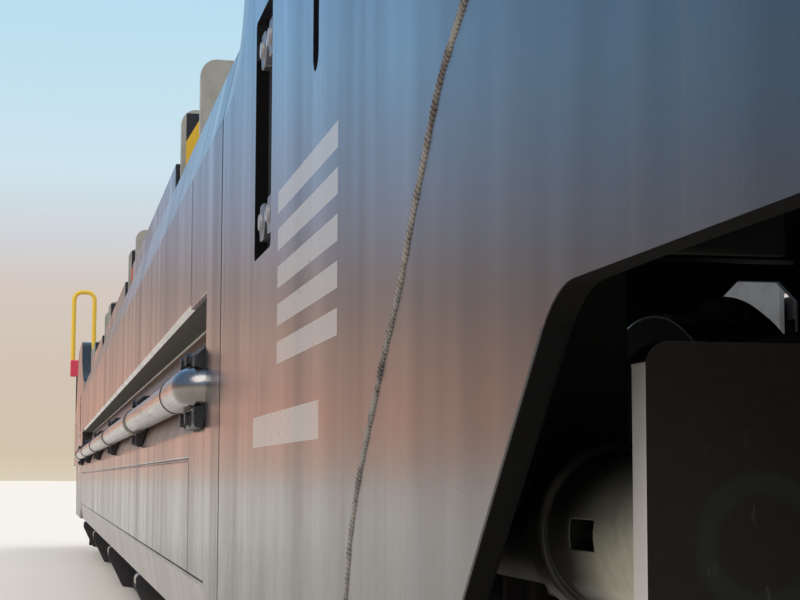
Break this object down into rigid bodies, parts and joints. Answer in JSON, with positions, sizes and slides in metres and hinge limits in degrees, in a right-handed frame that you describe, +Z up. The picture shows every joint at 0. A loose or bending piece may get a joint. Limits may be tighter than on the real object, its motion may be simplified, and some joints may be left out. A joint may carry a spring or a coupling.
{
  "type": "low rail wagon with folding side walls and loading tray",
  "caption": "Low bogie wagon for road semi-trailers: black folding side walls with a silver locking shaft, curved cheeks over the bogies and a lift-out loading tray.",
  "frame": {"origin": "middle of the wagon, level with the lowest point of the wheel flanges", "axes": "+X along the wagon towards end a, +Y across it to the far side, +Z up"},
  "size_m": [19.33, 3.0798, 2.5299],
  "materials": {
    "wagon_black": "satin black paint with rain streaks",
    "bogie_black": "matt black paint with brake dust",
    "spring_steel": "dusty spring steel",
    "wheel_steel": "rolled steel, rusty web and polished tread",
    "buffer_steel": "greased dark steel",
    "cylinder_steel": "dark grey, scuffed and greasy",
    "plate_dark": "dark plate with bright bolt heads",
    "shaft_silver": "zinc plated tube",
    "bearing_black": "black castings",
    "tray_grey": "grey paint, worn",
    "ear_beige": "grey beige paint with hazard stripes",
    "signal_red": "red paint",
    "loop_yellow": "yellow paint"
  },
  "bodies": {
    "frame": {"floor_frame": "wagon_black", "bulkheads": "wagon_black", "cheek_a_far": "wagon_black", "cheek_a_near": "wagon_black", "cheek_b_far": "wagon_black", "cheek_b_near": "wagon_black", "end_frame_a": "wagon_black", "end_frame_b": "wagon_black", "end_decks": "wagon_black", "headstocks": "wagon_black", "loop_posts": "wagon_black", "loop_blocks": "signal_red", "hand_loops": "loop_yellow", "buffer_cases": "buffer_steel", "buffer_heads": "buffer_steel", "draw_hooks": "buffer_steel", "screw_couplings": "buffer_steel", "lock_cylinders": "cylinder_steel", "slot_plates": "plate_dark", "hinge_brackets": "bearing_black", "air_reservoirs": "bogie_black", "corner_steps": "wagon_black", "end_cocks": "buffer_steel"},
    "near_wall": {"wall_near": "wagon_black", "lock_shaft_near": "shaft_silver", "shaft_bearings_near": "bearing_black"},
    "far_wall": {"wall_far": "wagon_black", "lock_shaft_far": "shaft_silver", "shaft_bearings_far": "bearing_black"},
    "tray": {"tray_pan": "tray_grey", "tray_posts": "tray_grey", "tray_ears": "ear_beige", "kingpin_stand": "tray_grey"},
    "bogie_a": {"bogie_frame_a": "bogie_black", "axleboxes_a": "bogie_black", "springs_a": "spring_steel", "brake_gear_a": "bogie_black"},
    "wheelset_a1": {"wheels_a1": "wheel_steel", "axle_a1": "wheel_steel"},
    "wheelset_a2": {"wheels_a2": "wheel_steel", "axle_a2": "wheel_steel"},
    "bogie_b": {"bogie_frame_b": "bogie_black", "axleboxes_b": "bogie_black", "springs_b": "spring_steel", "brake_gear_b": "bogie_black"},
    "wheelset_b1": {"wheels_b1": "wheel_steel", "axle_b1": "wheel_steel"},
    "wheelset_b2": {"wheels_b2": "wheel_steel", "axle_b2": "wheel_steel"}
  },
  "joints": [
    {"name": "near_wall_fold", "type": "hinge", "parent": "frame", "child": "near_wall", "pos_m": [0, -1.44, 0.313], "axis": [1, 0, 0], "range_deg": [0, 90]},
    {"name": "far_wall_fold", "type": "hinge", "parent": "frame", "child": "far_wall", "pos_m": [0, 1.44, 0.313], "axis": [-1, 0, 0], "range_deg": [0, 90]},
    {"name": "tray_lift", "type": "slide", "parent": "frame", "child": "tray", "axis": [0, 0, 1], "range_m": [0, 1.6]},
    {"name": "bogie_a_swivel", "type": "hinge", "parent": "frame", "child": "bogie_a", "pos_m": [7.1, 0, 0.873], "axis": [0, 0, 1], "range_deg": [-4, 4]},
    {"name": "wheelset_a1_spin", "type": "hinge", "parent": "bogie_a", "child": "wheelset_a1", "pos_m": [8, 0, 0.488], "axis": [0, 1, 0], "continuous": true},
    {"name": "wheelset_a2_spin", "type": "hinge", "parent": "bogie_a", "child": "wheelset_a2", "pos_m": [6.2, 0, 0.488], "axis": [0, 1, 0], "continuous": true},
    {"name": "bogie_b_swivel", "type": "hinge", "parent": "frame", "child": "bogie_b", "pos_m": [-7.1, 0, 0.873], "axis": [0, 0, 1], "range_deg": [-4, 4]},
    {"name": "wheelset_b1_spin", "type": "hinge", "parent": "bogie_b", "child": "wheelset_b1", "pos_m": [-6.2, 0, 0.488], "axis": [0, 1, 0], "continuous": true},
    {"name": "wheelset_b2_spin", "type": "hinge", "parent": "bogie_b", "child": "wheelset_b2", "pos_m": [-8, 0, 0.488], "axis": [0, 1, 0], "continuous": true}
  ]
}
